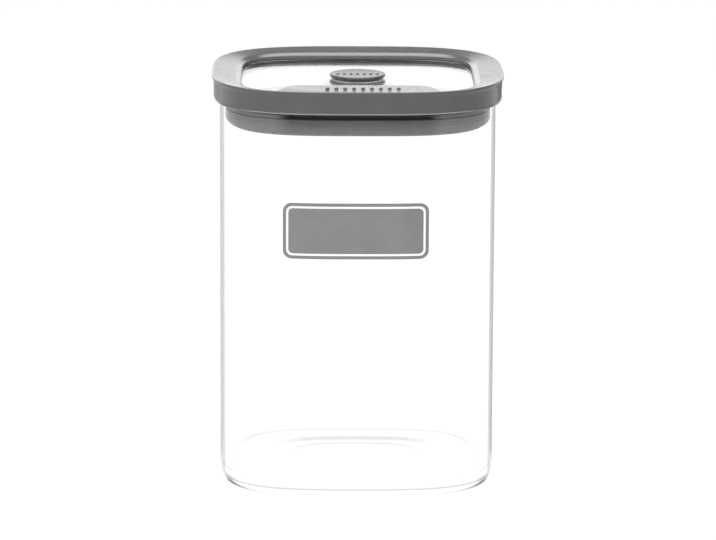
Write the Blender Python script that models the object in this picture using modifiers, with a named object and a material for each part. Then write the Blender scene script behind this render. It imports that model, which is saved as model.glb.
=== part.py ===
# Square storage jar with a push-button lid.
# Lengths are in metres, +Z is up and the front faces -Y.
# The origin is at the middle of the base, on the plane that the jar stands on.
# A lid height is counted from the jar's rim, and an offset from the jar's outer outline, outwards.

from math import cos, pi, sin, tau

import bmesh
import bpy

# Fits between neighbouring pieces
TOUCH_GAP = 0.0003
RUNNING_GAP = 0.0003

# Soft-square outline: a power of 2 is a circle and a larger one is squarer
OUTLINE_POWER = 3.26
OUTLINE_POINTS = 64
CORNER_STEP_SHARE = 0.55
TURN_STEPS = 40
ARC_STEPS = 3

# Glass jar
JAR_HALF_WIDTH = 0.0520
JAR_HEIGHT = 0.1500
JAR_WALL = 0.0020
JAR_FLOOR = 0.0030
JAR_FOOT_RADIUS = 0.0040
JAR_HEEL_RADIUS = 0.0030
JAR_RIM_SHARE = 0.4
JAR_EDGE_STEPS = 4

# Lid frame
RIM_FLARE = 0.00055
RIM_RISE = 0.0040
RIM_RADIUS = 0.0008
TOP_FALL = 0.0017
SKIRT_OVERHANG = 0.00245
SKIRT_DROP = 0.0042
SKIRT_CLEARANCE = 0.00045
SKIRT_EDGE = 0.0004
SHOULDER_HEIGHT = 0.0014
OPENING_LEDGE = 0.0033
OPENING_POWER = 4.53
OPENING_FACE = 0.0017
RIB_CLEARANCE = 0.00045
RIB_WIDTH = 0.0024
RIB_DROP = 0.0053

# Front tongue of the frame
TONGUE_HALF_WIDTH = 0.0245
TONGUE_FLARE = 0.0045
TONGUE_LENGTH = 0.0155
TONGUE_STEP = 0.0002
TONGUE_CORNER = 0.0050
TONGUE_ROOT_OVERLAP = 0.0030

# Window and its gasket
WINDOW_THICKNESS = 0.0025
GASKET_HEIGHT = 0.00175
GASKET_WIDTH = 0.0031

# Seal carrier
CARRIER_WALL = 0.0028
CARRIER_LIP_HEIGHT = 0.0012

# Seal ring
SEAL_CLEARANCE = 0.00035
SEAL_SKIN = 0.00125
SEAL_FLOOR = 0.0011
SEAL_DROP = 0.0134
SEAL_BOTTOM_RADIUS = 0.0020
SEAL_NECK_DEPTH = 0.0012
SEAL_NECK_HEIGHT = 0.0018
SEAL_LIPS = 3
SEAL_LIP_DEPTH = 0.0004

# Press button
BUTTON_OVERHANG = 0.00125
BUTTON_RISE = 0.0019
BUTTON_UNDERCUT = 0.0008
BUTTON_EDGE = 0.0004
BUTTON_CROWN = 0.0014
BUTTON_NECK_RADIUS = 0.00935
BUTTON_NECK_WALL = 0.0012
BUTTON_NECK_LENGTH = 0.0044
STEM_RADIUS = 0.0020
STEM_CHAMFER = 0.0004
STEM_TAIL = 0.0005

# Valve under the window
HOUSING_FLANGE_REACH = 0.0022
HOUSING_FLANGE_THICKNESS = 0.0012
HOUSING_WALL = 0.0012
HOUSING_DEPTH = 0.0050
HOUSING_FLOOR = 0.0012
HOUSING_CHAMFER = 0.0004
VENT_COUNT = 6
VENT_RADIUS = 0.0010
VENT_CIRCLE_RADIUS = 0.0067
VENT_STEPS = 12
DISC_RADIUS = 0.0086
DISC_THICKNESS = 0.0014
DISC_BEAD = 0.0004
DISC_BEAD_WIDTH = 0.0008
CLIP_RADIUS = 0.0042
CLIP_THICKNESS = 0.0010

# Return spring
SPRING_RADIUS = 0.0046
SPRING_WIRE_RADIUS = 0.00035
SPRING_TURNS = 5
SPRING_POINTS_PER_TURN = 10

# Cutters run past what they cut by this much
OVERRUN = 0.0010
WELD_DISTANCE = 0.00001
SHARP_ANGLE = pi / 5
RIM_CORNER_ANGLE = pi / 3

# Offsets from the jar's outer outline
RIB_OUTER = -JAR_WALL - RIB_CLEARANCE
RIB_INNER = RIB_OUTER - RIB_WIDTH
INSERT_EDGE = RIB_INNER - TOUCH_GAP
OPENING_EDGE = RIB_INNER - OPENING_LEDGE
SEAL_FACE = -JAR_WALL - SEAL_CLEARANCE
CARRIER_INNER = INSERT_EDGE - CARRIER_WALL
CARRIER_LIP_EDGE = SEAL_FACE - SEAL_SKIN - TOUCH_GAP
OPENING_HALF_WIDTH = JAR_HALF_WIDTH + OPENING_EDGE
RIM_OVERHANG = SKIRT_OVERHANG + RIM_FLARE

# Heights from the jar's rim
OPENING_TOP = RIM_RISE - TOP_FALL
FLANGE_UNDERSIDE = OPENING_TOP - OPENING_FACE
WINDOW_TOP = FLANGE_UNDERSIDE - TOUCH_GAP
WINDOW_BOTTOM = WINDOW_TOP - WINDOW_THICKNESS
GASKET_TOP = WINDOW_BOTTOM - TOUCH_GAP
CARRIER_TOP = GASKET_TOP - GASKET_HEIGHT - TOUCH_GAP
CARRIER_BOTTOM = -SEAL_DROP + SEAL_FLOOR + TOUCH_GAP
CARRIER_LIP_TOP = CARRIER_BOTTOM + CARRIER_LIP_HEIGHT
SEAL_TOP = -RIB_DROP - TOUCH_GAP

# Heights from the window's top, for the button and the valve
HOUSING_TOP = -WINDOW_THICKNESS - TOUCH_GAP
HOUSING_FLOOR_TOP = HOUSING_TOP - HOUSING_DEPTH
HOUSING_BOTTOM = HOUSING_FLOOR_TOP - HOUSING_FLOOR
DISC_TOP = HOUSING_BOTTOM - TOUCH_GAP
CLIP_TOP = DISC_TOP - DISC_THICKNESS - TOUCH_GAP
STEM_BOTTOM = CLIP_TOP - CLIP_THICKNESS - STEM_TAIL
BUTTON_CEILING = BUTTON_RISE - BUTTON_CROWN
BUTTON_RADIUS = BUTTON_NECK_RADIUS + BUTTON_OVERHANG
BORE_RADIUS = BUTTON_NECK_RADIUS + RUNNING_GAP
STEM_HOLE_RADIUS = STEM_RADIUS + RUNNING_GAP

parts = bpy.data.collections.new("storage_jar")
cutters = bpy.data.collections.new("cutters")


# Scene and materials

def clear_scene():
    for item in list(bpy.data.objects):
        bpy.data.objects.remove(item, do_unlink=True)


def make_material(name, colour, roughness, transmission=0.0):
    material = bpy.data.materials.new(name)
    material.use_nodes = True
    shader = material.node_tree.nodes["Principled BSDF"]
    shader.inputs["Base Color"].default_value = (*colour, 1.0)
    shader.inputs["Roughness"].default_value = roughness
    shader.inputs["Transmission Weight"].default_value = transmission
    material.diffuse_color = (*colour, 1.0)
    return material


def add_object(name, data, collection=parts):
    item = bpy.data.objects.new(name, data)
    collection.objects.link(item)
    return item


def finish_part(item, material, parent=None):
    item.data.materials.clear()
    item.data.materials.append(material)
    item.parent = parent
    if item.type == "MESH":
        item.data.shade_smooth()
        item.data.set_sharp_from_angle(angle=SHARP_ANGLE)
    return item


def hide_cutter(item):
    item.hide_render = True
    item.display_type = "WIRE"


# Outlines and sections

def outline(half_width, power, offset=0.0):
    """Points of a soft square, spread a little wider round its corners, moved out along its normals."""
    share = 1.0 / (power - 1.0)
    points = []
    for index in range(OUTLINE_POINTS):
        step = tau * index / OUTLINE_POINTS
        angle = step - CORNER_STEP_SHARE * sin(4.0 * step) / 4.0
        across, along = cos(angle), sin(angle)
        size = (abs(across) ** (power * share) + abs(along) ** (power * share)) ** (1.0 / power)
        x = half_width * abs(across) ** share / size + offset * abs(across)
        y = half_width * abs(along) ** share / size + offset * abs(along)
        points.append((x if across > 0.0 else -x, y if along > 0.0 else -y))
    return points


def jar_outline(offset):
    return outline(JAR_HALF_WIDTH, OUTLINE_POWER, offset)


def arc(centre_x, centre_z, radius, start, end, steps=ARC_STEPS):
    """Points of an arc from start to end, in radians from the first axis."""
    points = []
    for index in range(steps + 1):
        angle = start + (end - start) * index / steps
        points.append((centre_x + radius * cos(angle), centre_z + radius * sin(angle)))
    return points


def closed_curve(name, points, dimensions="2D"):
    curve = bpy.data.curves.new(name, "CURVE")
    curve.dimensions = dimensions
    spline = curve.splines.new("POLY")
    spline.points.add(len(points) - 1)
    for point, (x, y) in zip(spline.points, points):
        point.co = (x, y, 0.0, 1.0)
    spline.use_cyclic_u = True
    return curve


# Solids

def mesh_from_curve(name, curve_object, collection):
    """A mesh copy of an evaluated curve, with its caps welded, in place of the curve."""
    graph = bpy.context.evaluated_depsgraph_get()
    mesh = bpy.data.meshes.new_from_object(curve_object.evaluated_get(graph))
    mesh.name = name
    bm = bmesh.new()
    bm.from_mesh(mesh)
    bmesh.ops.remove_doubles(bm, verts=bm.verts, dist=WELD_DISTANCE)
    bmesh.ops.recalc_face_normals(bm, faces=bm.faces)
    bm.to_mesh(mesh)
    bm.free()
    item = add_object(name, mesh, collection)
    item.matrix_world = curve_object.matrix_world
    curve = curve_object.data
    bpy.data.objects.remove(curve_object, do_unlink=True)
    bpy.data.curves.remove(curve)
    return item


def plate(name, points, low, high, collection=parts):
    """A flat outline made solid between two heights, with one face at each end."""
    curve = closed_curve(name + "_outline", points)
    curve.fill_mode = "BOTH"
    curve.extrude = (high - low) / 2.0
    guide = add_object(name + "_outline", curve, collection)
    guide.location.z = (low + high) / 2.0
    bpy.context.view_layer.update()
    item = mesh_from_curve(name, guide, collection)
    item.data.transform(item.matrix_world)
    item.location.z = 0.0
    bm = bmesh.new()
    bm.from_mesh(item.data)
    for side in (-1.0, 1.0):
        cap = [face for face in bm.faces if face.normal.z * side > 0.5]
        bmesh.ops.dissolve_faces(bm, faces=cap)
    bm.to_mesh(item.data)
    bm.free()
    return item


def round_end(item, height, radius, steps):
    """Rounds the edges of a plate that lie at one height."""
    bm = bmesh.new()
    bm.from_mesh(item.data)
    edges = [edge for edge in bm.edges if all(abs(v.co.z - height) < WELD_DISTANCE for v in edge.verts)]
    bmesh.ops.bevel(bm, geom=edges, offset=radius, segments=steps, profile=0.5, affect="EDGES")
    bm.to_mesh(item.data)
    bm.free()


def ring(name, section):
    """A closed section of offsets and heights, swept round the jar's outline."""
    profile = add_object(name + "_section", closed_curve(name + "_section", section), cutters)
    path = closed_curve(name + "_path", jar_outline(0.0), "3D")
    path.twist_mode = "Z_UP"
    path.bevel_mode = "OBJECT"
    path.bevel_object = profile
    guide = add_object(name + "_path", path)
    bpy.context.view_layer.update()
    item = mesh_from_curve(name, guide, parts)
    bpy.data.objects.remove(profile, do_unlink=True)
    return item


def turned(name, profile, closed=False, collection=parts, steps=TURN_STEPS):
    """A profile of radii and heights turned about the vertical axis, its outer side from top to bottom."""
    mesh = bpy.data.meshes.new(name)
    last = len(profile) if closed else len(profile) - 1
    edges = [(index, (index + 1) % len(profile)) for index in range(last)]
    mesh.from_pydata([(radius, 0.0, height) for radius, height in profile], edges, [])
    item = add_object(name, mesh, collection)
    screw = item.modifiers.new("turn", "SCREW")
    screw.axis = "Z"
    screw.steps = steps
    screw.render_steps = steps
    screw.use_merge_vertices = True
    screw.merge_threshold = WELD_DISTANCE
    screw.use_smooth_shade = True
    return item


def combine(item, other, operation):
    boolean = item.modifiers.new(other.name, "BOOLEAN")
    boolean.operation = operation
    boolean.solver = "EXACT"
    boolean.object = other
    hide_cutter(other)


# Jar

def build_jar(material):
    jar = plate("glass_jar", jar_outline(0.0), 0.0, JAR_HEIGHT)
    round_end(jar, 0.0, JAR_FOOT_RADIUS, JAR_EDGE_STEPS)
    hollow = plate("jar_hollow", jar_outline(-JAR_WALL), JAR_FLOOR, JAR_HEIGHT + OVERRUN, cutters)
    round_end(hollow, JAR_FLOOR, JAR_HEEL_RADIUS, JAR_EDGE_STEPS)
    combine(jar, hollow, "DIFFERENCE")
    rim = jar.modifiers.new("rounded_rim", "BEVEL")
    rim.limit_method = "ANGLE"
    rim.angle_limit = RIM_CORNER_ANGLE
    rim.width = JAR_WALL * JAR_RIM_SHARE
    rim.segments = ARC_STEPS
    return finish_part(jar, material)


# Lid frame

def frame_section():
    skirt_inner = SKIRT_CLEARANCE
    skirt_foot = -SKIRT_DROP
    shoulder_foot = RIM_RISE - RIM_RADIUS - SHOULDER_HEIGHT
    crest = RIM_OVERHANG - RIM_RADIUS
    fall_share = TOP_FALL / (crest - OPENING_EDGE)
    section = [(skirt_inner, skirt_foot)]
    section += arc(SKIRT_OVERHANG - SKIRT_EDGE, skirt_foot + SKIRT_EDGE, SKIRT_EDGE, -pi / 2.0, 0.0)
    section += [(SKIRT_OVERHANG, shoulder_foot)]
    section += arc(crest, RIM_RISE - RIM_RADIUS, RIM_RADIUS, 0.0, pi / 2.0)
    section += [(OPENING_EDGE - OVERRUN, OPENING_TOP - OVERRUN * fall_share)]
    section += [(OPENING_EDGE - OVERRUN, FLANGE_UNDERSIDE), (RIB_INNER, FLANGE_UNDERSIDE)]
    section += [(RIB_INNER, -RIB_DROP), (RIB_OUTER, -RIB_DROP)]
    section += [(RIB_OUTER, TOUCH_GAP), (skirt_inner, TOUCH_GAP)]
    return section


def tongue_outline():
    """The tongue has a straight tip with rounded corners, and flanks that flare out into the frame."""
    root = -OPENING_HALF_WIDTH
    tip = root + TONGUE_LENGTH
    root_half_width = TONGUE_HALF_WIDTH + TONGUE_FLARE
    half = [(root_half_width, root - TONGUE_ROOT_OVERLAP)]
    half += arc(root_half_width, root + TONGUE_FLARE, TONGUE_FLARE, -pi / 2.0, -pi)
    half += arc(TONGUE_HALF_WIDTH - TONGUE_CORNER, tip - TONGUE_CORNER, TONGUE_CORNER, 0.0, pi / 2.0)
    return half + [(-x, y) for x, y in reversed(half)]


def build_frame(material, parent):
    frame = ring("lid_frame", frame_section())
    opening = plate(
        "frame_opening",
        outline(OPENING_HALF_WIDTH, OPENING_POWER),
        FLANGE_UNDERSIDE - OVERRUN,
        RIM_RISE,
        cutters,
    )
    opening.parent = parent
    combine(frame, opening, "DIFFERENCE")
    tongue = plate("frame_tongue", tongue_outline(), FLANGE_UNDERSIDE + TONGUE_STEP, OPENING_TOP, cutters)
    tongue.parent = parent
    combine(frame, tongue, "UNION")
    return finish_part(frame, material, parent)


# Window, gasket, carrier and seal

def build_window(material, parent):
    window = plate("lid_window", jar_outline(INSERT_EDGE), WINDOW_BOTTOM, WINDOW_TOP)
    hole = turned(
        "window_hole",
        [(0.0, WINDOW_TOP + OVERRUN), (BORE_RADIUS, WINDOW_TOP + OVERRUN),
         (BORE_RADIUS, WINDOW_BOTTOM - OVERRUN), (0.0, WINDOW_BOTTOM - OVERRUN)],
        collection=cutters,
    )
    hole.parent = parent
    combine(window, hole, "DIFFERENCE")
    return finish_part(window, material, parent)


def build_gasket(material, parent):
    inner = INSERT_EDGE - GASKET_WIDTH
    low = GASKET_TOP - GASKET_HEIGHT
    section = [(INSERT_EDGE, low), (INSERT_EDGE, GASKET_TOP), (inner, GASKET_TOP), (inner, low)]
    return finish_part(ring("window_gasket", section), material, parent)


def build_carrier(material, parent):
    section = [(CARRIER_INNER, CARRIER_BOTTOM), (CARRIER_LIP_EDGE, CARRIER_BOTTOM)]
    section += [(CARRIER_LIP_EDGE, CARRIER_LIP_TOP), (INSERT_EDGE, CARRIER_LIP_TOP)]
    section += [(INSERT_EDGE, CARRIER_TOP), (CARRIER_INNER, CARRIER_TOP)]
    return finish_part(ring("seal_carrier", section), material, parent)


def seal_section():
    """A sleeve with lips outside, which hooks over the carrier's lip and wraps its underside."""
    channel = CARRIER_LIP_EDGE + TOUCH_GAP
    channel_top = CARRIER_LIP_TOP + TOUCH_GAP
    channel_floor = CARRIER_BOTTOM - TOUCH_GAP
    neck = SEAL_FACE - SEAL_NECK_DEPTH
    lips_top = SEAL_TOP - SEAL_NECK_HEIGHT
    lips_bottom = SEAL_BOTTOM_RADIUS - SEAL_DROP
    pitch = (lips_top - lips_bottom) / SEAL_LIPS
    section = [(CARRIER_INNER, -SEAL_DROP)]
    section += arc(SEAL_FACE - SEAL_BOTTOM_RADIUS, lips_bottom, SEAL_BOTTOM_RADIUS, -pi / 2.0, 0.0)
    for index in range(SEAL_LIPS):
        valley = lips_bottom + pitch * (index + 0.5)
        section += [(SEAL_FACE - SEAL_LIP_DEPTH, valley), (SEAL_FACE, valley + pitch / 2.0)]
    section += [(neck, lips_top + SEAL_LIP_DEPTH), (neck, SEAL_TOP), (RIB_INNER, SEAL_TOP)]
    section += [(RIB_INNER, channel_top), (channel, channel_top)]
    section += [(channel, channel_floor), (CARRIER_INNER, channel_floor)]
    return section


def build_seal(material, parent):
    return finish_part(ring("seal_ring", seal_section()), material, parent)


# Button and valve

def build_button(material, parent):
    profile = [(0.0, BUTTON_RISE)]
    profile += arc(BUTTON_RADIUS - BUTTON_EDGE, BUTTON_RISE - BUTTON_EDGE, BUTTON_EDGE, pi / 2.0, 0.0)
    profile += [(BUTTON_RADIUS, BUTTON_UNDERCUT + BUTTON_EDGE), (BUTTON_RADIUS - BUTTON_EDGE, BUTTON_UNDERCUT)]
    profile += [(BUTTON_NECK_RADIUS, BUTTON_UNDERCUT)]
    profile += [(BUTTON_NECK_RADIUS, BUTTON_CEILING - BUTTON_NECK_LENGTH)]
    profile += [(BUTTON_NECK_RADIUS - BUTTON_NECK_WALL, BUTTON_CEILING - BUTTON_NECK_LENGTH)]
    profile += [(BUTTON_NECK_RADIUS - BUTTON_NECK_WALL, BUTTON_CEILING), (STEM_RADIUS, BUTTON_CEILING)]
    profile += [(STEM_RADIUS, STEM_BOTTOM + STEM_CHAMFER), (STEM_RADIUS - STEM_CHAMFER, STEM_BOTTOM)]
    profile += [(0.0, STEM_BOTTOM)]
    return finish_part(turned("open_button", profile), material, parent)


def build_housing(material, parent):
    outer = BORE_RADIUS + HOUSING_WALL
    flange = outer + HOUSING_FLANGE_REACH
    flange_bottom = HOUSING_TOP - HOUSING_FLANGE_THICKNESS
    profile = [(flange, HOUSING_TOP), (flange, flange_bottom), (outer, flange_bottom)]
    profile += [(outer, HOUSING_BOTTOM + HOUSING_CHAMFER), (outer - HOUSING_CHAMFER, HOUSING_BOTTOM)]
    profile += [(STEM_HOLE_RADIUS, HOUSING_BOTTOM), (STEM_HOLE_RADIUS, HOUSING_FLOOR_TOP)]
    profile += [(BORE_RADIUS, HOUSING_FLOOR_TOP), (BORE_RADIUS, HOUSING_TOP)]
    housing = turned("valve_housing", profile, closed=True)
    for index in range(VENT_COUNT):
        angle = tau * index / VENT_COUNT
        vent = turned(
            f"vent_{index + 1}",
            [(0.0, HOUSING_FLOOR_TOP + OVERRUN), (VENT_RADIUS, HOUSING_FLOOR_TOP + OVERRUN),
             (VENT_RADIUS, HOUSING_BOTTOM - OVERRUN), (0.0, HOUSING_BOTTOM - OVERRUN)],
            collection=cutters,
            steps=VENT_STEPS,
        )
        vent.location = (VENT_CIRCLE_RADIUS * cos(angle), VENT_CIRCLE_RADIUS * sin(angle), 0.0)
        vent.parent = parent
        combine(housing, vent, "DIFFERENCE")
    return finish_part(housing, material, parent)


def build_disc(material, parent):
    low = DISC_TOP - DISC_THICKNESS
    bead_inner = DISC_RADIUS - DISC_BEAD_WIDTH
    profile = [(DISC_RADIUS, DISC_TOP), (DISC_RADIUS, low + DISC_BEAD), (DISC_RADIUS - DISC_BEAD, low)]
    profile += [(STEM_HOLE_RADIUS, low), (STEM_HOLE_RADIUS, DISC_TOP - DISC_BEAD)]
    profile += [(bead_inner - DISC_BEAD, DISC_TOP - DISC_BEAD), (bead_inner, DISC_TOP)]
    return finish_part(turned("valve_disc", profile, closed=True), material, parent)


def build_clip(material, parent):
    low = CLIP_TOP - CLIP_THICKNESS
    profile = [(CLIP_RADIUS, CLIP_TOP), (CLIP_RADIUS, low)]
    profile += [(STEM_HOLE_RADIUS, low), (STEM_HOLE_RADIUS, CLIP_TOP)]
    return finish_part(turned("stem_clip", profile, closed=True), material, parent)


def build_spring(material, parent):
    low = HOUSING_FLOOR_TOP + TOUCH_GAP + SPRING_WIRE_RADIUS
    high = BUTTON_CEILING - TOUCH_GAP - SPRING_WIRE_RADIUS
    steps = SPRING_TURNS * SPRING_POINTS_PER_TURN
    curve = bpy.data.curves.new("return_spring", "CURVE")
    curve.dimensions = "3D"
    curve.bevel_depth = SPRING_WIRE_RADIUS
    curve.bevel_resolution = 1
    curve.use_fill_caps = True
    spline = curve.splines.new("POLY")
    spline.points.add(steps)
    for index, point in enumerate(spline.points):
        angle = tau * index / SPRING_POINTS_PER_TURN
        height = low + (high - low) * index / steps
        point.co = (SPRING_RADIUS * cos(angle), SPRING_RADIUS * sin(angle), height, 1.0)
    return finish_part(add_object("return_spring", curve), material, parent)


def add_empty(name, height, parent=None):
    empty = add_object(name, None)
    empty.parent = parent
    empty.location.z = height
    return empty


def build():
    clear_scene()
    bpy.context.scene.collection.children.link(parts)
    bpy.context.scene.collection.children.link(cutters)
    glass = make_material("clear_glass", (0.95, 0.97, 0.97), 0.02, 1.0)
    window_plastic = make_material("clear_plastic", (0.96, 0.97, 0.97), 0.04, 1.0)
    grey_plastic = make_material("grey_plastic", (0.145, 0.145, 0.148), 0.42)
    button_plastic = make_material("button_plastic", (0.150, 0.150, 0.153), 0.40)
    grey_silicone = make_material("grey_silicone", (0.165, 0.165, 0.168), 0.55)
    dark_silicone = make_material("dark_silicone", (0.060, 0.060, 0.062), 0.60)
    disc_silicone = make_material("disc_silicone", (0.200, 0.200, 0.205), 0.55)
    milky_plastic = make_material("milky_plastic", (0.780, 0.785, 0.780), 0.45)
    housing_plastic = make_material("housing_plastic", (0.750, 0.755, 0.750), 0.45)
    spring_steel = make_material("spring_steel", (0.600, 0.600, 0.610), 0.30)
    clip_plastic = make_material("clip_plastic", (0.140, 0.140, 0.142), 0.45)
    build_jar(glass)
    lid = add_empty("lid_lift_axis", JAR_HEIGHT)
    valve = add_empty("valve_axis", WINDOW_TOP, lid)
    button = add_empty("button_press_axis", WINDOW_TOP, lid)
    build_frame(grey_plastic, lid)
    build_window(window_plastic, lid)
    build_gasket(dark_silicone, lid)
    build_carrier(milky_plastic, lid)
    build_seal(grey_silicone, lid)
    build_housing(housing_plastic, valve)
    build_spring(spring_steel, valve)
    build_button(button_plastic, button)
    build_disc(disc_silicone, button)
    build_clip(clip_plastic, button)


build()
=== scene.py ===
from math import copysign, cos, pi, radians, sin, tau

import bmesh
import bpy
from mathutils import Matrix, Vector


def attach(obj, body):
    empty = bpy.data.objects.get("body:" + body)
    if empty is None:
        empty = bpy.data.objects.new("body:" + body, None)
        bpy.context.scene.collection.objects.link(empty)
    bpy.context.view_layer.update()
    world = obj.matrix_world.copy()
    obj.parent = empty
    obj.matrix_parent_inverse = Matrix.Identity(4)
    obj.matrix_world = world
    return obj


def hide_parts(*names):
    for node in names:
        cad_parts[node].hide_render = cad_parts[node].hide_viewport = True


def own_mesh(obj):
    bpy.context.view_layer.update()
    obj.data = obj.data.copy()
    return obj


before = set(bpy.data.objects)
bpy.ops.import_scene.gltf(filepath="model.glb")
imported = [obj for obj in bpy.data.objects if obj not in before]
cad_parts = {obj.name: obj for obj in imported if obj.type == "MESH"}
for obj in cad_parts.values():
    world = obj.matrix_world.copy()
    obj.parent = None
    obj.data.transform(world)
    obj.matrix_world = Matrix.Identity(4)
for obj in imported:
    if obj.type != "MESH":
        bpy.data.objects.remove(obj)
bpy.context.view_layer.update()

MM = 0.001

# Sizes of the jar: its outside is the part's own, and its wall, floor and turned edges are set for the look
JAR_HALF_WIDTH = 52.0 * MM
JAR_POWER = 3.26
JAR_HEIGHT = 150.0 * MM
JAR_WALL = 1.2 * MM
JAR_FLOOR = 2.0 * MM
FOOT_RADIUS = 4.0 * MM
CORNER_FOOT_SHARE = 0.5
HEEL_RADIUS = 5.0 * MM
WALL_ROWS = (40.0 * MM, 95.0 * MM)
PUNT_SECTION = [(-28.5 * MM, 0.47 * MM), (-26.9 * MM, 0.46 * MM), (-25.3 * MM, 0.44 * MM),
                (-19.8 * MM, 0.25 * MM), (-14.2 * MM, 0.02 * MM), (-13.8 * MM, 0.0)]

# Sizes of the lid; reaches are measured outwards from the jar's wall
OPENING_HALF_WIDTH = 43.85 * MM
OPENING_POWER = 4.53
OPENING_TOP = 152.3 * MM
TONGUE_LENGTH = 15.5 * MM
SKIRT_OUT = 2.45 * MM
SKIRT_BOTTOM = 145.35 * MM
RIM_OUT = 3.0 * MM
RIM_TOP = 154.0 * MM
RIM_RADIUS = 0.5 * MM
FLANGE_UNDERSIDE = 150.6 * MM
RIB_OUT = -3.75 * MM
RIB_IN = -4.85 * MM
RIB_BOTTOM = 144.7 * MM
WINDOW_TOP = 150.3 * MM

# Steps round the outlines, and how much closer together they are where an outline is flatter
STATIONS = 320
STATION_CROWDING = 0.55
TURN_STEPS = 96

# Glass colours, and painted shade where the glass is thick or met edge on, and where that painted shade lies
CLEAR_GLASS = (0.998, 0.999, 0.999)
UNTINTED = (1.0, 1.0, 1.0)
EDGE_PAINTED_SHADE = (0.44, 0.445, 0.445)
BASE_LINE_PAINTED_SHADE = (0.5, 0.505, 0.505)
FOOT_CORNER_PAINTED_SHADE = (0.04, 0.04, 0.04)
HEEL_PAINTED_SHADE = (0.77, 0.775, 0.775)
PUNT_PAINTED_SHADE = (0.81, 0.812, 0.812)
RIM_SHADED = (JAR_HEIGHT - 0.9 * MM, JAR_HEIGHT - 0.6 * MM)
BASE_LINE_SHADED = ((2.5 * MM, 2.7 * MM), (3.1 * MM, 3.3 * MM))
FOOT_CORNER_SHADED = ((0.45 * MM, 0.85 * MM), (1.6 * MM, 4.6 * MM))
SIDE_FADES = (25.0 * MM, 31.0 * MM)
HEEL_SHADED = (15.0 * MM, 32.0 * MM)
PUNT_SHADED = ((12.0 * MM, 25.0 * MM), (18.0 * MM, 31.0 * MM))
GLASS_ROUGHNESS = 0.01
GLASS_IOR = 1.1
WINDOW_IOR = 1.49
PLASTIC_IOR = 1.5

# Painted highlight along the skirt's bead and painted light on the inner wall, and where: a middle height and half of
# the reach
SKIRT_BEAD_HIGHLIGHT = (0.26, 0.26, 0.262)
SKIRT_BEAD_AT = (SKIRT_BOTTOM + 0.12 * MM, 0.22 * MM)
INNER_WALL_PAINTED_LIGHT = (0.18, 0.18, 0.182)
INNER_WALL_AT = (151.2 * MM, 0.75 * MM)
INNER_WALL_WITHIN = 53.7 * MM

# Painted light on the seal's corners, painted shade on its face and in the channel above it, and the shades' heights
SEAL_CORNER_PAINTED_LIGHT = (0.25, 0.25, 0.253)
SEAL_SHADE = (0.085, 0.085, 0.087)
SEAL_CHANNEL_SHADE = (0.02, 0.02, 0.021)
SEAL_SHADED = (137.0 * MM, 142.5 * MM)
SEAL_CHANNEL_FROM = (142.9 * MM, 143.0 * MM)

# Surfaces: waves to the metre of clouding, uneven gloss, the glass's film and its swell, how far gloss varies either
# way, and what all silicone shares
CLOUD_SCALE = 120.0
GLOSS_SCALE = 480.0
FILM_SCALE = 300.0
SWELL_SCALE = 40.0
GLOSS_VARIES = 0.04
SILICONE = {"vary": 0.05, "grain": 14000.0, "grain_depth": 0.01 * MM}

# Levels of the floor and the world, mostly as reflections show them
FLOOR_MIRRORED = 0.95
FLOOR_LEFT = 0.5
FLOOR_RIGHT = 0.2
FLOOR_SHADOW = 0.12
FLOOR_GLOW = 0.935
FLOOR_COLOUR = 0.82
BACK_MIRRORED = 2.0
LEFT_MIRRORED = 0.8
RIGHT_MIRRORED = 0.3
FRONT_MIRRORED = 0.6
TOP_MIRRORED = 0.2
OVERHEAD_MIRRORED = 6.0
WORLD_FILL = 0.55

PHOTO_WIDTH, PHOTO_HEIGHT = 716.0, 540.0


# Outlines

def soft_square(half_width, power, angle):
    """The point of a soft square whose outward normal has this angle."""
    share = 1.0 / (power - 1.0)
    across, along = abs(cos(angle)) ** share, abs(sin(angle)) ** share
    size = (across ** power + along ** power) ** (1.0 / power)
    return Vector((copysign(half_width * across / size, cos(angle)), copysign(half_width * along / size, sin(angle))))


def station_angles():
    """Normal angles, closer together where the outline is flatter."""
    steps = [tau * index / STATIONS for index in range(STATIONS)]
    return [step - STATION_CROWDING * sin(4.0 * step) / 4.0 for step in steps]


def off_side(angle):
    """How far a normal angle is from that of the nearest side's middle."""
    return abs((angle + pi / 4.0) % (pi / 2.0) - pi / 4.0)


def jar_point(angle, offset):
    return soft_square(JAR_HALF_WIDTH, JAR_POWER, angle) + offset * Vector((cos(angle), sin(angle)))


def opening_point(angle, offset):
    return soft_square(OPENING_HALF_WIDTH, OPENING_POWER, angle) + offset * Vector((cos(angle), sin(angle)))


def on_jar(angle, section):
    """Points of a section, as offsets from the jar's outline and heights, at one normal angle."""
    return [(*jar_point(angle, offset), height) for offset, height in section]


def arc(x, z, radius, start, end, steps):
    """Points of an arc from start to end, in degrees."""
    points = []
    for index in range(steps + 1):
        angle = radians(start + (end - start) * index / steps)
        points.append((x + radius * cos(angle), z + radius * sin(angle)))
    return points


def smooth(value, first, last):
    """0 before first and 1 after last, with a soft turn at each end."""
    share = min(max((value - first) / (last - first), 0.0), 1.0)
    return share * share * (3.0 - 2.0 * share)


# Meshes

def add_piece(name, mesh, body, material, replaced=None):
    piece = bpy.data.objects.new(name, mesh)
    bpy.context.scene.collection.objects.link(piece)
    # Only a mesh with materials is cleared, because clearing also resets the faces' material indices
    if mesh.materials:
        mesh.materials.clear()
    mesh.materials.append(material)
    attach(piece, body)
    if replaced:
        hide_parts(replaced)
    return piece


def shaded(mesh, sharp=40.0):
    mesh.shade_smooth()
    mesh.set_sharp_from_angle(angle=radians(sharp))
    return mesh


def mesh_from(bm, name):
    bmesh.ops.recalc_face_normals(bm, faces=bm.faces)
    if bm.calc_volume(signed=True) < 0.0:
        bmesh.ops.reverse_faces(bm, faces=bm.faces)
    mesh = bpy.data.meshes.new(name)
    bm.to_mesh(mesh)
    bm.free()
    return shaded(mesh)


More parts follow.
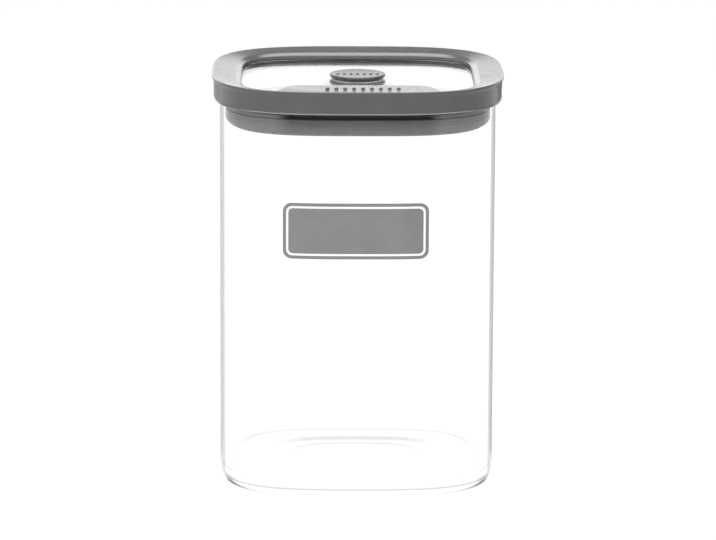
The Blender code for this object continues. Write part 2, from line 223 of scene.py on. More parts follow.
def strip(bm, here, there, ringed=True):
    """Four-sided faces between two rows of vertices, closed to a ring or left open at their ends."""
    faces = []
    for index in range(len(here) - 1 + ringed):
        following = (index + 1) % len(here)
        faces.append(bm.faces.new((here[index], there[index], there[following], here[following])))
    return faces


def ring_mesh(name, section):
    """A closed section swept round: section(angle) gives its points in the plane of that normal angle."""
    bm = bmesh.new()
    loops = [[bm.verts.new(point) for point in section(angle)] for angle in station_angles()]
    for here, there in zip(loops, loops[1:] + loops[:1]):
        strip(bm, here, there)
    return mesh_from(bm, name)


def turned_mesh(name, profile):
    """A closed profile of radii and heights turned round; a radius of zero lies on the axis."""
    bm = bmesh.new()
    poles = {}
    rows = []
    for step in range(TURN_STEPS):
        angle = tau * step / TURN_STEPS
        row = []
        for index, (radius, height) in enumerate(profile):
            point = (radius * cos(angle), radius * sin(angle), height)
            vert = poles[index] if index in poles else bm.verts.new(point)
            if radius == 0.0:
                poles[index] = vert
            row.append(vert)
        rows.append(row)
    for here, there in zip(rows, rows[1:] + rows[:1]):
        for index in range(len(profile) - 1):
            corners = list(dict.fromkeys((here[index], there[index], there[index + 1], here[index + 1])))
            if len(corners) > 2:
                bm.faces.new(corners)
    return mesh_from(bm, name)


def bars_mesh(name, centres, length, width, height):
    """Short raised bars along Y with rounded ends and soft top edges, their feet sunk into what carries them."""
    bm = bmesh.new()
    for x, y, z in centres:
        rows = []
        for inset, level in ((0.0, -0.3 * MM), (0.0, 0.4 * height), (0.09 * MM, 0.85 * height), (0.22 * MM, height)):
            radius, reach = 0.5 * width - inset, 0.5 * (length - width)
            ends = arc(0.0, reach, radius, 0.0, 180.0, 8) + arc(0.0, -reach, radius, 180.0, 360.0, 8)
            rows.append([bm.verts.new((x + across, y + along, z + level)) for across, along in ends])
        for low, high in zip(rows, rows[1:]):
            strip(bm, low, high)
        bm.faces.new(rows[0])
        bm.faces.new(rows[-1])
    return mesh_from(bm, name)


def joined(base, tool):
    """The base mesh with the tool added to it by a Boolean union."""
    first = bpy.data.objects.new("join_base", base)
    second = bpy.data.objects.new("join_tool", tool)
    for item in (first, second):
        bpy.context.scene.collection.objects.link(item)
    union = first.modifiers.new("union", "BOOLEAN")
    union.operation = "UNION"
    union.solver = "EXACT"
    union.object = second
    bpy.context.view_layer.update()
    graph = bpy.context.evaluated_depsgraph_get()
    mesh = bpy.data.meshes.new_from_object(first.evaluated_get(graph))
    for item in (first, second):
        bpy.data.objects.remove(item, do_unlink=True)
    return shaded(mesh, 35.0)


# Node trees

class Graph:
    """Short calls for building one node tree. A value is an output socket, a number or a colour of three parts."""

    def __init__(self, tree):
        self.nodes, self.links = tree.nodes, tree.links

    def new(self, kind):
        return self.nodes.new("ShaderNode" + kind)

    def feed(self, socket, value):
        """Links an output socket to an input, or sets the input to a number or a colour."""
        if isinstance(value, bpy.types.NodeSocket):
            self.links.new(value, socket)
        elif isinstance(value, tuple):
            socket.default_value = (*value, 1.0)
        else:
            socket.default_value = value

    def math(self, operation, *values):
        node = self.new("Math")
        node.operation = operation
        for socket, value in zip(node.inputs, values):
            self.feed(socket, value)
        return node.outputs["Value"]

    def chained(self, operation, first, *others):
        for other in others:
            first = self.math(operation, first, other)
        return first

    def product(self, *values):
        return self.chained("MULTIPLY", *values)

    def larger(self, *values):
        return self.chained("MAXIMUM", *values)

    def smaller(self, *values):
        return self.chained("MINIMUM", *values)

    def inverse(self, value):
        return self.math("SUBTRACT", 1.0, value)

    def between(self, value, low, high, first=0.3, last=0.7, soft=False):
        """Goes from low to high while the value goes from first to last; most noise lies between 0.3 and 0.7."""
        reach = self.new("MapRange")
        if soft:
            reach.interpolation_type = "SMOOTHSTEP"
        settings = {"From Min": first, "From Max": last, "To Min": low, "To Max": high, "Value": value}
        for name, setting in settings.items():
            self.feed(reach.inputs[name], setting)
        return reach.outputs["Result"]

    def rise(self, value, first, last):
        return self.between(value, 0.0, 1.0, first, last)

    def fall(self, value, first, last):
        return self.between(value, 1.0, 0.0, first, last)

    def mixed(self, kind, factor, first, second):
        """The first value where the factor is 0 and the second where it is 1; the kind is RGBA or FLOAT."""
        mix = self.new("Mix")
        mix.data_type = kind
        for name, value in (("Factor", factor), ("A", first), ("B", second)):
            self.feed(mix.inputs[name], value)
        return mix.outputs["Result"]

    def part(self, vector, axis):
        split = self.new("SeparateXYZ")
        self.feed(split.inputs["Vector"], vector)
        return split.outputs[axis]

    def place(self, axis):
        """A point's place along one axis in the piece's own coordinates."""
        return self.part(self.new("TexCoord").outputs["Object"], axis)

    def noise(self, scale, detail, roughness=0.5):
        """Noise by the piece's own coordinates, whose scale is in waves to the metre."""
        texture = self.new("TexNoise")
        self.feed(texture.inputs["Scale"], scale)
        self.feed(texture.inputs["Detail"], detail)
        self.feed(texture.inputs["Roughness"], roughness)
        self.feed(texture.inputs["Vector"], self.new("TexCoord").outputs["Object"])
        return texture.outputs["Fac"]

    def bump(self, height, strength, distance):
        bump = self.new("Bump")
        self.feed(bump.inputs["Strength"], strength)
        self.feed(bump.inputs["Distance"], distance)
        self.feed(bump.inputs["Height"], height)
        return bump.outputs["Normal"]


def new_material(name):
    material = bpy.data.materials.new(name)
    material.use_nodes = True
    graph = Graph(material.node_tree)
    return material, graph, graph.nodes["Principled BSDF"]


def recolour(material, colour, factor, shader="Principled BSDF", socket="Base Color"):
    """Blends another colour over a shader's colour, where factor(graph) asks for it."""
    graph = Graph(material.node_tree)
    target = graph.nodes[shader].inputs[socket]
    under = target.links[0].from_socket if target.links else tuple(target.default_value)[:3]
    graph.feed(target, graph.mixed("RGBA", factor(graph), under, colour))


# Where painted light and painted shade lie: each gives a factor from 0 to 1

def facing_side(graph):
    """1 along the middle of each side and 0 towards the corners."""
    across, deep = (graph.math("ABSOLUTE", graph.place(axis)) for axis in "XY")
    return graph.fall(graph.smaller(across, deep), *SIDE_FADES)


def towards_corner(graph):
    return graph.inverse(facing_side(graph))


def seen_first(graph):
    return graph.new("LightPath").outputs["Is Camera Ray"]


def open_rim(graph):
    return graph.product(graph.rise(graph.place("Z"), *RIM_SHADED), seen_first(graph))


def towards_back(graph):
    return graph.rise(graph.place("Y"), *HEEL_SHADED)


def along_back(graph):
    """1 along the middle of the back and 0 towards its corners and at the front."""
    backwards, sideways = PUNT_SHADED
    aside = graph.math("ABSOLUTE", graph.place("X"))
    return graph.product(graph.rise(graph.place("Y"), *backwards), graph.fall(aside, *sideways))


def along_skirt_edge(graph):
    return graph.math("COMPARE", graph.place("Z"), *SKIRT_BEAD_AT)


def along_inner_wall(graph):
    """1 on the wall round the window, which is nearer to the middle than the skirt is anywhere."""
    across, deep = graph.place("X"), graph.place("Y")
    reach = graph.math("SQRT", graph.math("ADD", graph.product(across, across), graph.product(deep, deep)))
    return graph.product(graph.math("LESS_THAN", reach, INNER_WALL_WITHIN),
                         graph.math("COMPARE", graph.place("Z"), *INNER_WALL_AT))


def seal_shade(graph):
    return graph.between(graph.place("Z"), 0.0, 0.4, *SEAL_SHADED)


def seal_side_shade(graph):
    return graph.product(graph.between(graph.place("Z"), 0.0, 0.9, *SEAL_SHADED), facing_side(graph))


def seal_channel_shade(graph):
    return graph.product(graph.rise(graph.place("Z"), *SEAL_CHANNEL_FROM), facing_side(graph))


# Materials

def moulded(name, colour, roughness, vary=0.06, grain=9000.0, grain_depth=0.02 * MM):
    """Moulded plastic or silicone: faint clouding of the colour, uneven gloss and a fine grain."""
    material, graph, shader = new_material(name)
    cloud = graph.between(graph.noise(CLOUD_SCALE, 3.0), 0.0, 1.0)
    darker, lighter = (tuple(part * (1.0 + side * vary) for part in colour) for side in (-1.0, 1.0))
    graph.feed(shader.inputs["Base Color"], graph.mixed("RGBA", cloud, darker, lighter))
    gloss = graph.between(graph.noise(GLOSS_SCALE, 5.0, 0.6), roughness - GLOSS_VARIES, roughness + GLOSS_VARIES)
    graph.feed(shader.inputs["Roughness"], gloss)
    graph.feed(shader.inputs["Normal"], graph.bump(graph.noise(grain, 2.0), 0.35, grain_depth))
    graph.feed(shader.inputs["IOR"], PLASTIC_IOR)
    return material


def painted_edge_shade(graph, colour):
    """The colour of the outer glass where a line of sight first meets it.

    A wall that is met edge on and the open rim take the edge's painted shade. A painted dark line runs along the
    thick base, and painted shade makes the foot's turned corners darker still.
    """
    weight = graph.new("LayerWeight")
    graph.feed(weight.inputs["Blend"], 0.5)
    facing = weight.outputs["Facing"]
    height = graph.place("Z")
    level = graph.math("ABSOLUTE", graph.part(graph.new("NewGeometry").outputs["Normal"], "Z"))
    edge_on = graph.product(graph.fall(level, 0.9, 0.95), graph.rise(facing, 0.75, 0.80))
    wall = graph.larger(edge_on, graph.rise(height, *RIM_SHADED))
    line, low = (graph.product(graph.rise(height, *starts), graph.fall(height, *ends))
                 for starts, ends in (BASE_LINE_SHADED, FOOT_CORNER_SHADED))
    foot = graph.product(graph.rise(facing, 0.45, 0.6), towards_corner(graph), low)
    for factor, tint in ((line, BASE_LINE_PAINTED_SHADE), (wall, EDGE_PAINTED_SHADE), (foot, FOOT_CORNER_PAINTED_SHADE)):
        colour = graph.mixed("RGBA", graph.product(factor, seen_first(graph)), colour, tint)
    return colour


def clear(name, colour, roughness, ior, edged=False, under=False):
    """Clear glass or plastic with the faint unevenness of a formed surface.

    Shadow rays go straight through it, and so does a line of sight that has been mirrored three times on its way.
    The jar's underside also lets whatever comes from within the glass go straight through, or the thin floor would
    carry it on for many reflections.
    """
    material, graph, shader = new_material(name)
    graph.feed(shader.inputs["Base Color"], colour)
    if edged:
        graph.feed(shader.inputs["Base Color"], painted_edge_shade(graph, colour))
    graph.feed(shader.inputs["Transmission Weight"], 1.0)
    graph.feed(shader.inputs["IOR"], ior)
    film = graph.noise(FILM_SCALE, 5.0, 0.65)
    graph.feed(shader.inputs["Roughness"], graph.between(film, 0.0, roughness, 0.45, 0.75))
    graph.feed(shader.inputs["Normal"], graph.bump(graph.noise(SWELL_SCALE, 1.0), 0.2, 0.02 * MM))
    path = graph.new("LightPath")
    worn_out = graph.math("GREATER_THAN", path.outputs["Glossy Depth"], 2.5)
    through = graph.larger(path.outputs["Is Shadow Ray"], worn_out)
    see_through = graph.new("BsdfTransparent")
    if under:
        graph.feed(see_through.inputs["Color"], colour)
        through = graph.larger(through, graph.inverse(path.outputs["Is Camera Ray"]))
    choose = graph.new("MixShader")
    for socket, value in zip(choose.inputs, (through, shader.outputs["BSDF"], see_through.outputs["BSDF"])):
        graph.feed(socket, value)
    graph.feed(graph.nodes["Material Output"].inputs["Surface"], choose.outputs["Shader"])
    return material


# The outer glass has painted shade where it is met edge on, at the rim, along a line round the base and at the foot's
# corners
glass = clear("jar_glass", CLEAR_GLASS, GLASS_ROUGHNESS, GLASS_IOR, edged=True)
inner_glass = clear("jar_glass_inside", CLEAR_GLASS, GLASS_ROUGHNESS, GLASS_IOR)
# Painted shade on the inside of the open rim
recolour(inner_glass, EDGE_PAINTED_SHADE, open_rim)
heel_glass = clear("jar_glass_heel", CLEAR_GLASS, GLASS_ROUGHNESS, GLASS_IOR)
# Painted shade on the heel, darker towards the back
recolour(heel_glass, HEEL_PAINTED_SHADE, towards_back)
under_glass = clear("jar_glass_under", UNTINTED, GLASS_ROUGHNESS, GLASS_IOR, under=True)
punt_glass = clear("jar_glass_punt", UNTINTED, GLASS_ROUGHNESS, GLASS_IOR, under=True)
# Painted shade along the back of the punt's turns, carried by the colour that the glass lets through
recolour(punt_glass, PUNT_PAINTED_SHADE, along_back, "Transparent BSDF", "Color")
window_plastic = clear("window_plastic", (0.995, 0.997, 0.997), 0.02, WINDOW_IOR)
lid_plastic = moulded("lid_plastic", (0.107, 0.107, 0.109), 0.20)
# Painted highlight along the skirt's bead
recolour(lid_plastic, SKIRT_BEAD_HIGHLIGHT, along_skirt_edge)
# Painted light on the wall round the window, which is lighter than the rest of the lid
recolour(lid_plastic, INNER_WALL_PAINTED_LIGHT, along_inner_wall)
button_plastic = moulded("button_plastic", (0.125, 0.125, 0.127), 0.28)
seal_silicone = moulded("seal_silicone", (0.21, 0.21, 0.213), 0.5, **SILICONE)
# Painted light on the seal's corners, painted shade that darkens its face towards the top, more along the sides, and
# darker painted shade in the channel above it
recolour(seal_silicone, SEAL_CORNER_PAINTED_LIGHT, towards_corner)
recolour(seal_silicone, SEAL_SHADE, seal_shade)
recolour(seal_silicone, SEAL_SHADE, seal_side_shade)
recolour(seal_silicone, SEAL_CHANNEL_SHADE, seal_channel_shade)
# The gasket's own dark silicone, darkened further as painted shade for the gap that its upper lip fills
gasket_silicone = moulded("gasket_silicone", (0.03, 0.03, 0.031), 0.55, **SILICONE)
carrier_plastic = moulded("carrier_plastic", (0.78, 0.785, 0.78), 0.4, 0.03)
housing_plastic = moulded("housing_plastic", (0.27, 0.275, 0.27), 0.4, 0.03)
disc_silicone = moulded("disc_silicone", (0.2, 0.2, 0.205), 0.5, **SILICONE)
clip_plastic = moulded("clip_plastic", (0.14, 0.14, 0.142), 0.45)
print_ink = moulded("print_ink", (0.27, 0.27, 0.272), 0.55, 0.05, 12000.0, 0.004 * MM)
spring_steel, steel, steel_shader = new_material("spring_steel")
steel.feed(steel_shader.inputs["Metallic"], 1.0)
steel.feed(steel_shader.inputs["Base Color"], (0.6, 0.6, 0.61))
steel.feed(steel_shader.inputs["Roughness"], steel.between(steel.noise(2500.0, 3.0), 0.22, 0.36))


# Jar

# Materials of the vessel's faces: the heel is the foot of its inside, and the punt's turns carry painted shade for
# its arcs
OUTSIDE, INSIDE, HEEL, PUNT, UNDERSIDE = range(5)

# Points further in than this are scaled towards the middle, because offset ones would cross at the corners
OFFSET_LIMIT = -10.0 * MM


def vessel_mesh():
    """The glass as one closed skin, from its underside over the rim to its floor."""
    foot = arc(-FOOT_RADIUS, FOOT_RADIUS, FOOT_RADIUS, -90.0, 0.0, 20)
    rim = 0.45 * JAR_WALL
    outside = PUNT_SECTION + foot + [(0.0, height) for height in WALL_ROWS]
    outside += arc(-rim, JAR_HEIGHT - rim, rim, 0.0, 90.0, 6)
    inside = arc(rim - JAR_WALL, JAR_HEIGHT - rim, rim, 90.0, 180.0, 6)
    inside += [(-JAR_WALL, height) for height in reversed(WALL_ROWS)]
    inside += arc(-JAR_WALL - HEEL_RADIUS, JAR_FLOOR + HEEL_RADIUS, HEEL_RADIUS, 0.0, -90.0, 18)
    inside += [(-JAR_WALL - HEEL_RADIUS - reach * MM, JAR_FLOOR) for reach in (1.2, 12.0)]
    profile = outside + inside
    parts = [OUTSIDE] * len(profile)
    parts[len(outside) - 1:] = [INSIDE] * (len(inside) + 1)
    parts[-5:-2] = [HEEL] * 3
    parts[:6] = [UNDERSIDE, PUNT, UNDERSIDE, PUNT, UNDERSIDE, UNDERSIDE]
    bm = bmesh.new()
    loops = []
    for angle in station_angles():
        row = []
        share = 1.0 - (1.0 - CORNER_FOOT_SHARE) * smooth(off_side(angle), radians(6.0), radians(20.0))
        for index, (offset, height) in enumerate(profile):
            if len(PUNT_SECTION) <= index < len(PUNT_SECTION) + len(foot):
                offset, height = offset * share, height * share
            if offset < OFFSET_LIMIT:
                x, y = soft_square(JAR_HALF_WIDTH + offset, JAR_POWER, angle)
            else:
                x, y = jar_point(angle, offset)
            row.append(bm.verts.new((x, y, height)))
        loops.append(row)
    for here, there in zip(loops, loops[1:] + loops[:1]):
        for face, part in zip(strip(bm, here, there, False), parts):
            face.material_index = part
    bm.faces.new([row[0] for row in loops]).material_index = UNDERSIDE
    bm.faces.new([row[-1] for row in loops]).material_index = INSIDE
    return mesh_from(bm, "glass_vessel")


vessel = add_piece("glass_vessel", vessel_mesh(), "jar", glass, "glass_jar")
for extra in (inner_glass, heel_glass, punt_glass, under_glass):
    vessel.data.materials.append(extra)


# Lid frame

# The rim's inner bevel in mm, as reaches out of the opening and heights over it: all round, and at the tongue
OPENING_BEVEL = ((2.6, 0.62), (2.2, 0.57), (1.95, 0.51), (1.75, 0.43),
                 (0.36, -0.18), (0.2, -0.27), (0.09, -0.38), (0.02, -0.52))
TONGUE_BEVEL = ((1.4, 0.21), (0.8, 0.11), (0.55, 0.06), (0.36, 0.01),
                (0.24, -0.04), (0.12, -0.12), (0.05, -0.22), (0.01, -0.34))


def frame_section(angle):
    """The skirt with its bead, the rim over it, the bevel down to the opening and the rib that holds the seal."""
    crest = RIM_OUT - RIM_RADIUS
    spot = opening_point(angle, 0.0)
    at_tongue = 0.0 if spot.y > 0.0 else 1.0 - smooth(abs(spot.x), 29.0 * MM, 39.0 * MM)
    away = 1.0 - at_tongue
    skirt = [(0.45 * MM, SKIRT_BOTTOM)]
    skirt += arc(SKIRT_OUT - 0.2 * MM, SKIRT_BOTTOM + 0.2 * MM, 0.2 * MM, -90.0, 0.0, 3)
    skirt += [(SKIRT_OUT, SKIRT_BOTTOM + 0.3 * MM), (SKIRT_OUT - 0.22 * MM, SKIRT_BOTTOM + 0.55 * MM)]
    skirt += [(SKIRT_OUT - 0.22 * MM, SKIRT_BOTTOM + 0.75 * MM), (SKIRT_OUT - 0.1 * MM, 149.0 * MM)]
    skirt += [(SKIRT_OUT, 151.6 * MM), (SKIRT_OUT + 0.04 * MM, 151.95 * MM), (SKIRT_OUT + 0.16 * MM, 152.35 * MM)]
    skirt += [(SKIRT_OUT + 0.37 * MM, 152.75 * MM), (SKIRT_OUT + 0.5 * MM, 153.0 * MM)]
    skirt += arc(crest, RIM_TOP - RIM_RADIUS, RIM_RADIUS, 0.0, 90.0, 7)
    skirt += [(crest - 0.25 * MM, RIM_TOP - 0.02 * MM)]
    opening = []
    for (wide, high), (near, low) in zip(OPENING_BEVEL, TONGUE_BEVEL):
        opening.append(((near + away * (wide - near)) * MM, OPENING_TOP + (low + away * (high - low)) * MM))
    opening += [(0.0, OPENING_TOP - 0.7 * MM)]
    opening += [(0.0, FLANGE_UNDERSIDE + 0.25 * MM), (0.0, FLANGE_UNDERSIDE + 0.1 * MM), (0.1 * MM, FLANGE_UNDERSIDE)]
    under = [(RIB_IN, FLANGE_UNDERSIDE), (RIB_IN, RIB_BOTTOM), (RIB_OUT, RIB_BOTTOM)]
    under += [(RIB_OUT, JAR_HEIGHT + 0.3 * MM), (0.45 * MM, JAR_HEIGHT + 0.3 * MM)]
    rim_points = [(*opening_point(angle, offset), height) for offset, height in opening]
    return on_jar(angle, skirt) + rim_points + on_jar(angle, under)


def tongue_mesh():
    """The tongue as a plate that reaches into the frame, its top edges rounded."""
    root = -OPENING_HALF_WIDTH
    tip = root + TONGUE_LENGTH
    half = [(32.0 * MM, root - 3.0 * MM)]
    half += arc(33.4 * MM, root + 3.6 * MM, 3.4 * MM, -110.0, -160.0, 10)
    half += arc(21.0 * MM, tip - 6.4 * MM, 6.4 * MM, 20.0, 90.0, 14)
    points = half + [(-x, y) for x, y in reversed(half)]
    low, high = FLANGE_UNDERSIDE + 0.2 * MM, OPENING_TOP
    bm = bmesh.new()
    top = [bm.verts.new((x, y, high)) for x, y in points]
    bottom = [bm.verts.new((x, y, low)) for x, y in points]
    bm.faces.new(top)
    bm.faces.new(list(reversed(bottom)))
    for index in range(len(points)):
        following = (index + 1) % len(points)
        bm.faces.new((top[following], top[index], bottom[index], bottom[following]))
    edges = [edge for edge in bm.edges if all(vert in top for vert in edge.verts)]
    bmesh.ops.bevel(bm, geom=edges, offset=0.4 * MM, segments=4, profile=0.5, affect="EDGES")
    return mesh_from(bm, "tongue")


tongue_ribs = [((1.6 + 3.3 * step) * MM, -OPENING_HALF_WIDTH + 9.0 * MM, OPENING_TOP) for step in range(-4, 5)]
rim_mesh = joined(ring_mesh("lid_rim", frame_section), tongue_mesh())
rim_mesh = joined(rim_mesh, bars_mesh("tongue_ribs", tongue_ribs, 6.0 * MM, 1.5 * MM, 0.4 * MM))
add_piece("lid_rim", rim_mesh, "lid", lid_plastic, "lid_frame")


# Seal, gasket and carrier

def seal_section(angle):
    """A channel with a rippled face against the glass, whose neck is deep at the sides and shallow at the corners."""
    fade = smooth(off_side(angle), radians(11.5), radians(17.5))
    face = -JAR_WALL - 0.06 * MM
    neck = face + (RIB_OUT - face) * (1.0 - 0.93 * fade)
    bottom, lips_top, top = 136.3 * MM, 142.6 * MM, 144.4 * MM
    floor_end, floor_top = -7.95 * MM, 137.75 * MM
    toe = 4.0 * MM
    points = [(floor_end, bottom)]
    points += arc(face - toe, bottom + toe, toe, -90.0, -8.0, 12)
    for index in range(1, 16):
        share = index / 16.0
        height = bottom + toe + (lips_top - bottom - toe) * share
        points.append((face - 0.06 * MM * (1.0 - cos(tau * 2.0 * share)), height))
    points += arc(face - 0.25 * MM, lips_top, 0.25 * MM, 0.0, 80.0, 3)
    points += [(neck + 0.2 * MM, lips_top + 0.32 * MM), (neck, lips_top + 0.5 * MM), (neck, top)]
    points += [(RIB_IN, top), (RIB_IN, 139.5 * MM), (-4.2 * MM, 139.3 * MM)]
    points += [(-4.6 * MM, floor_top), (floor_end, floor_top)]
    return on_jar(angle, points)


def gasket_section(angle):
    """A C round the window's edge; its thin dark upper lip fills the gap under the frame's inner edge, put there as
    painted shade for the shadow in that gap.
    """
    tip = opening_point(angle, 0.3 * MM)
    lip_top, lip_under = 150.54 * MM, 150.36 * MM
    points = on_jar(angle, [(-8.25 * MM, 145.75 * MM), (-4.93 * MM, 145.75 * MM), (-4.93 * MM, lip_top)])
    points += [(*tip, lip_top), (*tip, lip_under)]
    points += on_jar(angle, [(-5.05 * MM, lip_under), (-5.05 * MM, 147.5 * MM), (-8.25 * MM, 147.5 * MM)])
    return points


def carrier_section(angle):
    points = [(-7.95 * MM, 138.0 * MM), (-4.75 * MM, 138.0 * MM), (-4.6 * MM, 139.2 * MM), (-5.15 * MM, 139.2 * MM)]
    points += [(-5.15 * MM, 145.45 * MM), (-7.95 * MM, 145.45 * MM)]
    return on_jar(angle, points)


add_piece("mouth_seal", ring_mesh("mouth_seal", seal_section), "lid",
          seal_silicone, "seal_ring")
add_piece("window_seal", ring_mesh("window_seal", gasket_section), "lid",
          gasket_silicone, "window_gasket")
add_piece("seal_support", ring_mesh("seal_support", carrier_section), "lid",
          carrier_plastic, "seal_carrier")


# Button

BUTTON_RADIUS = 10.6 * MM
BUTTON_TOP = WINDOW_TOP + 1.9 * MM
BUTTON_DISH = 0.12 * MM


def button_profile():
    """The dished pad over its hollow neck, with the stem down the middle."""
    under, ceiling, stem_foot = WINDOW_TOP + 0.8 * MM, WINDOW_TOP + 0.5 * MM, 137.8 * MM
    skirt = ceiling - 4.4 * MM
    neck, hollow, stem = 9.35 * MM, 8.15 * MM, 2.0 * MM
    dish = BUTTON_TOP - BUTTON_DISH
    profile = [(0.0, dish), (7.6 * MM, dish), (9.4 * MM, BUTTON_TOP - 0.03 * MM), (9.8 * MM, BUTTON_TOP)]
    profile += arc(BUTTON_RADIUS - 0.4 * MM, BUTTON_TOP - 0.4 * MM, 0.4 * MM, 88.0, 0.0, 6)
    profile += arc(BUTTON_RADIUS - 0.25 * MM, under + 0.25 * MM, 0.25 * MM, 0.0, -90.0, 4)
    profile += [(neck, under), (neck, skirt), (hollow, skirt), (hollow, ceiling), (stem, ceiling)]
    profile += [(stem, stem_foot + 0.4 * MM), (1.6 * MM, stem_foot), (0.0, stem_foot)]
    return profile


button_bars = [(2.5 * step * MM, 0.0, BUTTON_TOP - BUTTON_DISH) for step in range(-3, 4)]
button_mesh = joined(turned_mesh("press_button", button_profile()),
                     bars_mesh("button_bars", button_bars, 4.0 * MM, 1.3 * MM, 0.3 * MM))
add_piece("press_button", button_mesh, "button", button_plastic, "open_button")


# Return spring: a copy of the CAD coil


def spring_mesh():
    bm = bmesh.new()
    bm.from_mesh(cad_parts["return_spring"].data)
    bmesh.ops.remove_doubles(bm, verts=bm.verts, dist=0.001 * MM)
    return mesh_from(bm, "button_spring")


coil = add_piece("button_spring", spring_mesh(), "lid", spring_steel, "return_spring")
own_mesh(coil)


# Blank printed label

def label_mesh():
    """A plain rounded panel inside a thin border, both closed and a hair proud of the glass."""
    middle_x, middle_z = -1.0 * MM, 101.5 * MM
    sheets = (0.09 * MM, 0.03 * MM)
    bm = bmesh.new()

    def on_glass(x, z, out):
        reach = abs((middle_x + x) / JAR_HALF_WIDTH) ** JAR_POWER
        return bm.verts.new((middle_x + x, -JAR_HALF_WIDTH * (1.0 - reach) ** (1.0 / JAR_POWER) - out, middle_z + z))

    def outline(half_width, half_height, corner):
        points = []
        for quarter, (side, level) in enumerate(((1, 1), (-1, 1), (-1, -1), (1, -1))):
            points += arc(side * (half_width - corner), level * (half_height - corner), corner,
                          90.0 * quarter, 90.0 * quarter + 90.0, 8)
            if level == side:
                across = side * (half_width - corner)
                points += [(across * (1.0 - step / 12.0), level * half_height) for step in range(1, 24)]
        return points

    def closed(rows, ringed):
        """Faces over a front and a back sheet of these rows of points, and round the sheets' free edges."""
        front, back = [[[on_glass(x, z, out) for x, z in row] for row in rows] for out in sheets]
        for sheet in (front, back):
            for here, there in zip(sheet, sheet[1:]):
                strip(bm, here, there, ringed)
        for row in (0, -1):
            strip(bm, front[row], back[row], ringed)
        if not ringed:
            for end in (0, -1):
                strip(bm, [row[end] for row in front], [row[end] for row in back], False)

    closed((outline(27.0 * MM, 10.5 * MM, 3.2 * MM), outline(25.8 * MM, 9.3 * MM, 2.2 * MM)), True)
    half_width, half_height, corner = 25.0 * MM, 8.5 * MM, 1.7 * MM
    rows = []
    for step in range(-30, 31):
        x = half_width * sin(0.5 * pi * step / 30.0)
        inset = max(abs(x) - (half_width - corner), 0.0)
        tall = half_height - corner + (max(corner * corner - inset * inset, (0.15 * corner) ** 2)) ** 0.5
        rows.append([(x, tall * level / 3.0) for level in range(-3, 4)])
    closed(rows, False)
    return mesh_from(bm, "front_label")


add_piece("front_label", label_mesh(), "jar", print_ink)

for node, material in {
    "lid_window": window_plastic,
    "valve_housing": housing_plastic,
    "valve_disc": disc_silicone,
    "stem_clip": clip_plastic,
}.items():
    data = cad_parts[node].data
    data.materials.clear()
    data.materials.append(material)


# Floor, light and camera

def seen_plainly(graph, path):
    """1 for what the camera sees directly or through glass, also after reflections within the glass."""
    inside = graph.product(path.outputs["Is Glossy Ray"],
                           graph.math("GREATER_THAN", path.outputs["Transmission Depth"], 0.5))
    return graph.larger(path.outputs["Is Camera Ray"], graph.larger(path.outputs["Is Transmission Ray"], inside))


def mirrored_floor(graph):
    """The floor's level in reflections: greyer beside and behind the jar, left and right, as by a studio's flags."""
    place = graph.new("NewGeometry").outputs["Position"]
    across, deep = graph.part(place, "X"), graph.part(place, "Y")
    past = graph.math("SUBTRACT", graph.math("ABSOLUTE", across), JAR_HALF_WIDTH)
    slope = graph.math("DIVIDE", past, graph.larger(deep, 0.001))
    behind = graph.product(graph.rise(deep, 0.0, 0.02), graph.rise(past, -0.01, 0.0))
    flagged = graph.product(graph.fall(slope, 0.5, 0.75), behind)
    return graph.mixed("FLOAT", flagged, FLOOR_MIRRORED, graph.between(across, FLOOR_LEFT, FLOOR_RIGHT, -0.04, 0.04))


def stage_floor():
    bm = bmesh.new()
    bmesh.ops.create_grid(bm, x_segments=1, y_segments=1, size=30.0)
    mesh = bpy.data.meshes.new("floor")
    bm.to_mesh(mesh)
    bm.free()
    floor = bpy.data.objects.new("floor", mesh)
    floor.location.z = -0.3 * MM
    bpy.context.scene.collection.objects.link(floor)
    material = bpy.data.materials.new("floor")
    material.use_nodes = True
    graph = Graph(material.node_tree)
    graph.nodes.clear()
    path = graph.new("LightPath")
    seen = seen_plainly(graph, path)
    mirrored = graph.larger(graph.math("SUBTRACT", path.outputs["Is Glossy Ray"], seen), 0.0)
    emission, diffuse, total = graph.new("Emission"), graph.new("BsdfDiffuse"), graph.new("AddShader")
    graph.feed(emission.inputs["Strength"], graph.math(
        "MULTIPLY_ADD", mirrored, mirrored_floor(graph), graph.product(seen, FLOOR_GLOW)))
    share = graph.math("MULTIPLY_ADD", graph.larger(seen, mirrored), FLOOR_SHADOW - 1.0, 1.0)
    graph.feed(diffuse.inputs["Color"], graph.product(share, FLOOR_COLOUR))
    graph.feed(total.inputs[0], emission.outputs["Emission"])
    graph.feed(total.inputs[1], diffuse.outputs["BSDF"])
    graph.feed(graph.new("OutputMaterial").inputs["Surface"], total.outputs["Shader"])
    mesh.materials.append(material)


stage_floor()


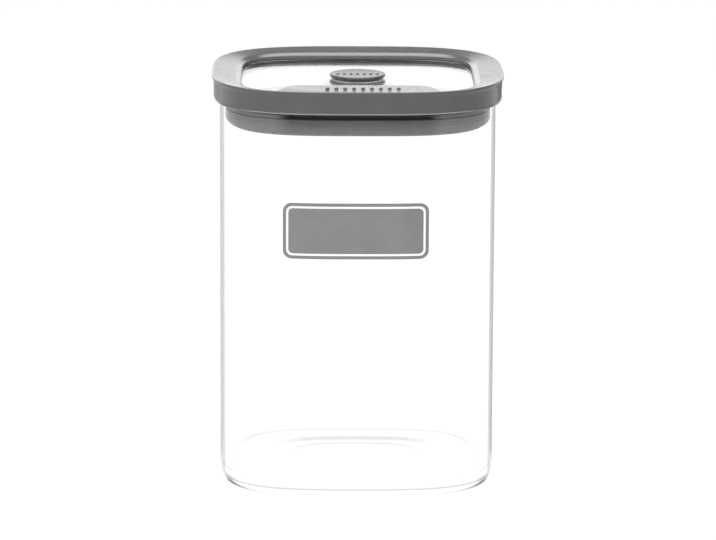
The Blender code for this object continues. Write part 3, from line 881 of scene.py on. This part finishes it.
def studio_world():
    """Plain white where it is seen, an even fill as light, and a studio's bright and dark parts in reflections."""
    world = bpy.data.worlds.new("studio")
    bpy.context.scene.world = world
    world.use_nodes = True
    graph = Graph(world.node_tree)
    graph.nodes.clear()
    path = graph.new("LightPath")
    towards = graph.new("TexCoord").outputs["Generated"]
    across, deep, up = (graph.part(towards, axis) for axis in "XYZ")
    around = graph.smaller(
        graph.between(across, LEFT_MIRRORED, BACK_MIRRORED, -0.95, -0.6, soft=True),
        graph.between(across, BACK_MIRRORED, RIGHT_MIRRORED, 0.6, 0.95, soft=True),
        graph.between(deep, FRONT_MIRRORED, BACK_MIRRORED, -0.1, 0.4, soft=True),
        graph.between(up, BACK_MIRRORED, TOP_MIRRORED, sin(radians(13.0)), sin(radians(18.0)), soft=True))
    flanks = graph.product(graph.between(across, 1.35, 1.0, -0.06, -0.015, soft=True),
                           graph.between(across, 1.0, 1.15, 0.015, 0.06, soft=True))
    overhead = graph.between(up, 0.0, OVERHEAD_MIRRORED, sin(radians(42.0)), sin(radians(52.0)), soft=True)
    mirrored = graph.larger(graph.product(around, flanks), overhead)
    lighting = graph.mixed("FLOAT", path.outputs["Is Glossy Ray"], WORLD_FILL, mirrored)
    background = graph.new("Background")
    graph.feed(background.inputs["Strength"], graph.mixed("FLOAT", seen_plainly(graph, path), lighting, 1.0))
    graph.feed(graph.new("OutputWorld").inputs["Surface"], background.outputs["Background"])


studio_world()


def softbox(name, place, width, height, watts):
    """An area light aimed at the jar, that shows neither directly nor in reflections."""
    lamp = bpy.data.lights.new(name, "AREA")
    lamp.shape = "RECTANGLE"
    lamp.size, lamp.size_y = width, height
    lamp.energy = watts
    item = bpy.data.objects.new(name, lamp)
    item.location = place
    item.rotation_euler = (Vector((0.0, 0.0, 0.1)) - Vector(place)).to_track_quat("-Z", "Y").to_euler()
    bpy.context.scene.collection.objects.link(item)
    item.visible_camera = False
    item.visible_glossy = False
    item.visible_transmission = False


softbox("overhead", (0.0, 0.0, 1.3), 1.0, 0.8, 14.0)
softbox("front_left", (-0.9, -1.3, 0.7), 0.8, 0.8, 7.0)


def photo_camera():
    """The camera as fitted to the outlines in the photo; its focal length and centre are in the photo's pixels."""
    azimuth, elevation, roll = radians(-0.783), radians(11.93), radians(0.264)
    aim, distance = Vector((0.0, 0.0, 0.5 * JAR_HEIGHT)), 1643.66 * MM
    focal_pixels, centre_x, centre_y = 4298.5, 356.566, 272.65
    back = Vector((sin(azimuth) * cos(elevation), -cos(azimuth) * cos(elevation), sin(elevation)))
    right = Vector((0.0, 0.0, 1.0)).cross(back).normalized()
    up = back.cross(right)
    turned_right = cos(roll) * right + sin(roll) * up
    turned_up = cos(roll) * up - sin(roll) * right
    data = bpy.data.cameras.new("photo_camera")
    data.sensor_width = 36.0
    data.lens = data.sensor_width * focal_pixels / PHOTO_WIDTH
    data.shift_x = (0.5 * PHOTO_WIDTH - centre_x) / PHOTO_WIDTH
    data.shift_y = (centre_y - 0.5 * PHOTO_HEIGHT) / PHOTO_WIDTH
    data.clip_start, data.clip_end = 0.05, 100.0
    camera = bpy.data.objects.new("photo_camera", data)
    turned = Matrix((turned_right, turned_up, back)).transposed().to_4x4()
    camera.matrix_world = Matrix.Translation(aim + distance * back) @ turned
    bpy.context.scene.collection.objects.link(camera)
    bpy.context.scene.camera = camera


photo_camera()
bpy.context.scene.view_settings.view_transform = "Standard"
